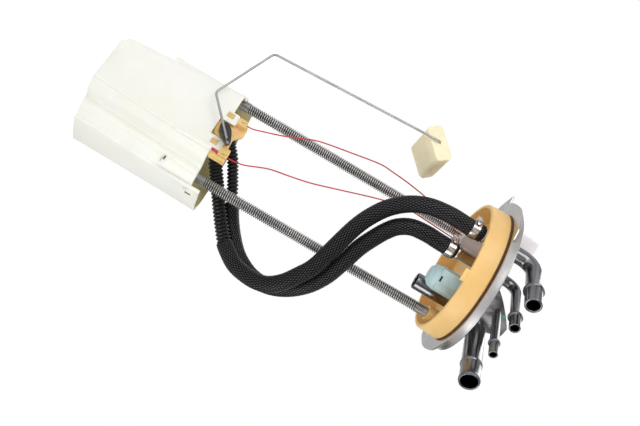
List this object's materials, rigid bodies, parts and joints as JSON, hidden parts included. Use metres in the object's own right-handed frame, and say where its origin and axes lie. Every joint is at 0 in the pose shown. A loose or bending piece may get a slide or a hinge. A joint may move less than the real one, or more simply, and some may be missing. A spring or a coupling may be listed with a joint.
{
  "type": "fuel pump module",
  "caption": "In-tank fuel pump module: steel flange with port tubes, sprung struts, hoses, sliding plastic reservoir with pump, and a level sender with a float arm.",
  "frame": {"origin": "centre of the flange's sealing face, where the flange rests on the tank", "axes": "+Z out of the tank along the struts, through the flange; +X towards the side that the hoses bow out to; -Y the side that the port tubes and the level sender face"},
  "size_m": [0.1711, 0.1281, 0.3326],
  "materials": {
    "flange_steel": "zinc-plated sheet, satin",
    "tube_steel": "dark plated tube, polished",
    "spring_steel": "bright spring wire",
    "clamp_steel": "bright strip",
    "nitrile": "dark brown seal",
    "ring_plastic": "yellow acetal, satin",
    "white_plastic": "white, satin",
    "valve_plastic": "pale blue, satin",
    "reservoir_plastic": "ivory acetal, satin",
    "amber_plastic": "amber",
    "black_plastic": "black",
    "hose_braid": "black woven sleeve over rubber hose",
    "loom_black": "black corrugated nylon",
    "wire_red": "red insulation",
    "contact_brass": "tin-washed brass",
    "ceramic": "resistor card",
    "float_foam": "cream closed-cell foam",
    "mesh_nylon": "strainer mesh"
  },
  "bodies": {
    "head": {"flange_plate": "flange_steel", "flange_gasket": "nitrile", "locating_ring": "ring_plastic", "strut_1": "spring_steel", "strut_2": "spring_steel", "strut_clip_1": "spring_steel", "strut_clip_2": "spring_steel", "spring_1": "spring_steel", "spring_2": "spring_steel", "stamped_dome": "flange_steel", "vent_port": "tube_steel", "supply_port": "tube_steel", "return_port": "tube_steel", "vapour_port": "tube_steel", "outer_connector": "white_plastic", "connector_pins": "contact_brass", "inner_connector": "white_plastic", "rollover_valve": "valve_plastic", "vent_stub": "tube_steel", "nipple_1": "tube_steel", "nipple_2": "tube_steel", "clamp_1": "clamp_steel", "clamp_2": "clamp_steel", "hose_1_corrugated": "loom_black", "hose_1_braided": "hose_braid", "hose_2_corrugated": "loom_black", "hose_2_braided": "hose_braid", "wire_1": "wire_red", "wire_2": "wire_red"},
    "reservoir": {"reservoir_shell": "reservoir_plastic", "reservoir_cover": "reservoir_plastic", "guide_bush_1": "white_plastic", "guide_bush_2": "white_plastic", "pump_body": "spring_steel", "pump_inlet_cap": "black_plastic", "pump_outlet_cap": "black_plastic", "outlet_elbow": "white_plastic", "jet_pump": "black_plastic", "inlet_strainer": "mesh_nylon", "sender_housing": "amber_plastic", "resistor_card": "ceramic", "terminals": "contact_brass"},
    "float_arm": {"rotor": "black_plastic", "wiper": "contact_brass", "float_arm": "spring_steel"},
    "float": {"float": "float_foam"}
  },
  "joints": [
    {"name": "reservoir_slide", "type": "slide", "parent": "head", "child": "reservoir", "axis": [0, 0, 1], "range_m": [0, 0.036], "stiffness_N_per_m": 500, "springref_m": -0.05, "deforming": ["spring_1", "spring_2", "hose_1_corrugated", "hose_1_braided", "hose_2_corrugated", "hose_2_braided", "wire_1", "wire_2"]},
    {"name": "arm_hinge", "type": "hinge", "parent": "reservoir", "child": "float_arm", "pos_m": [0.00188, -0.03806, -0.2048], "axis": [-0.4067, -0.9135, 0], "range_deg": [0, 88]},
    {"name": "float_swivel", "type": "hinge", "parent": "float_arm", "child": "float", "pos_m": [-0.07112, -0.01321, -0.0713], "axis": [0.4067, 0.9135, 0], "range_deg": [-40, 40]}
  ]
}
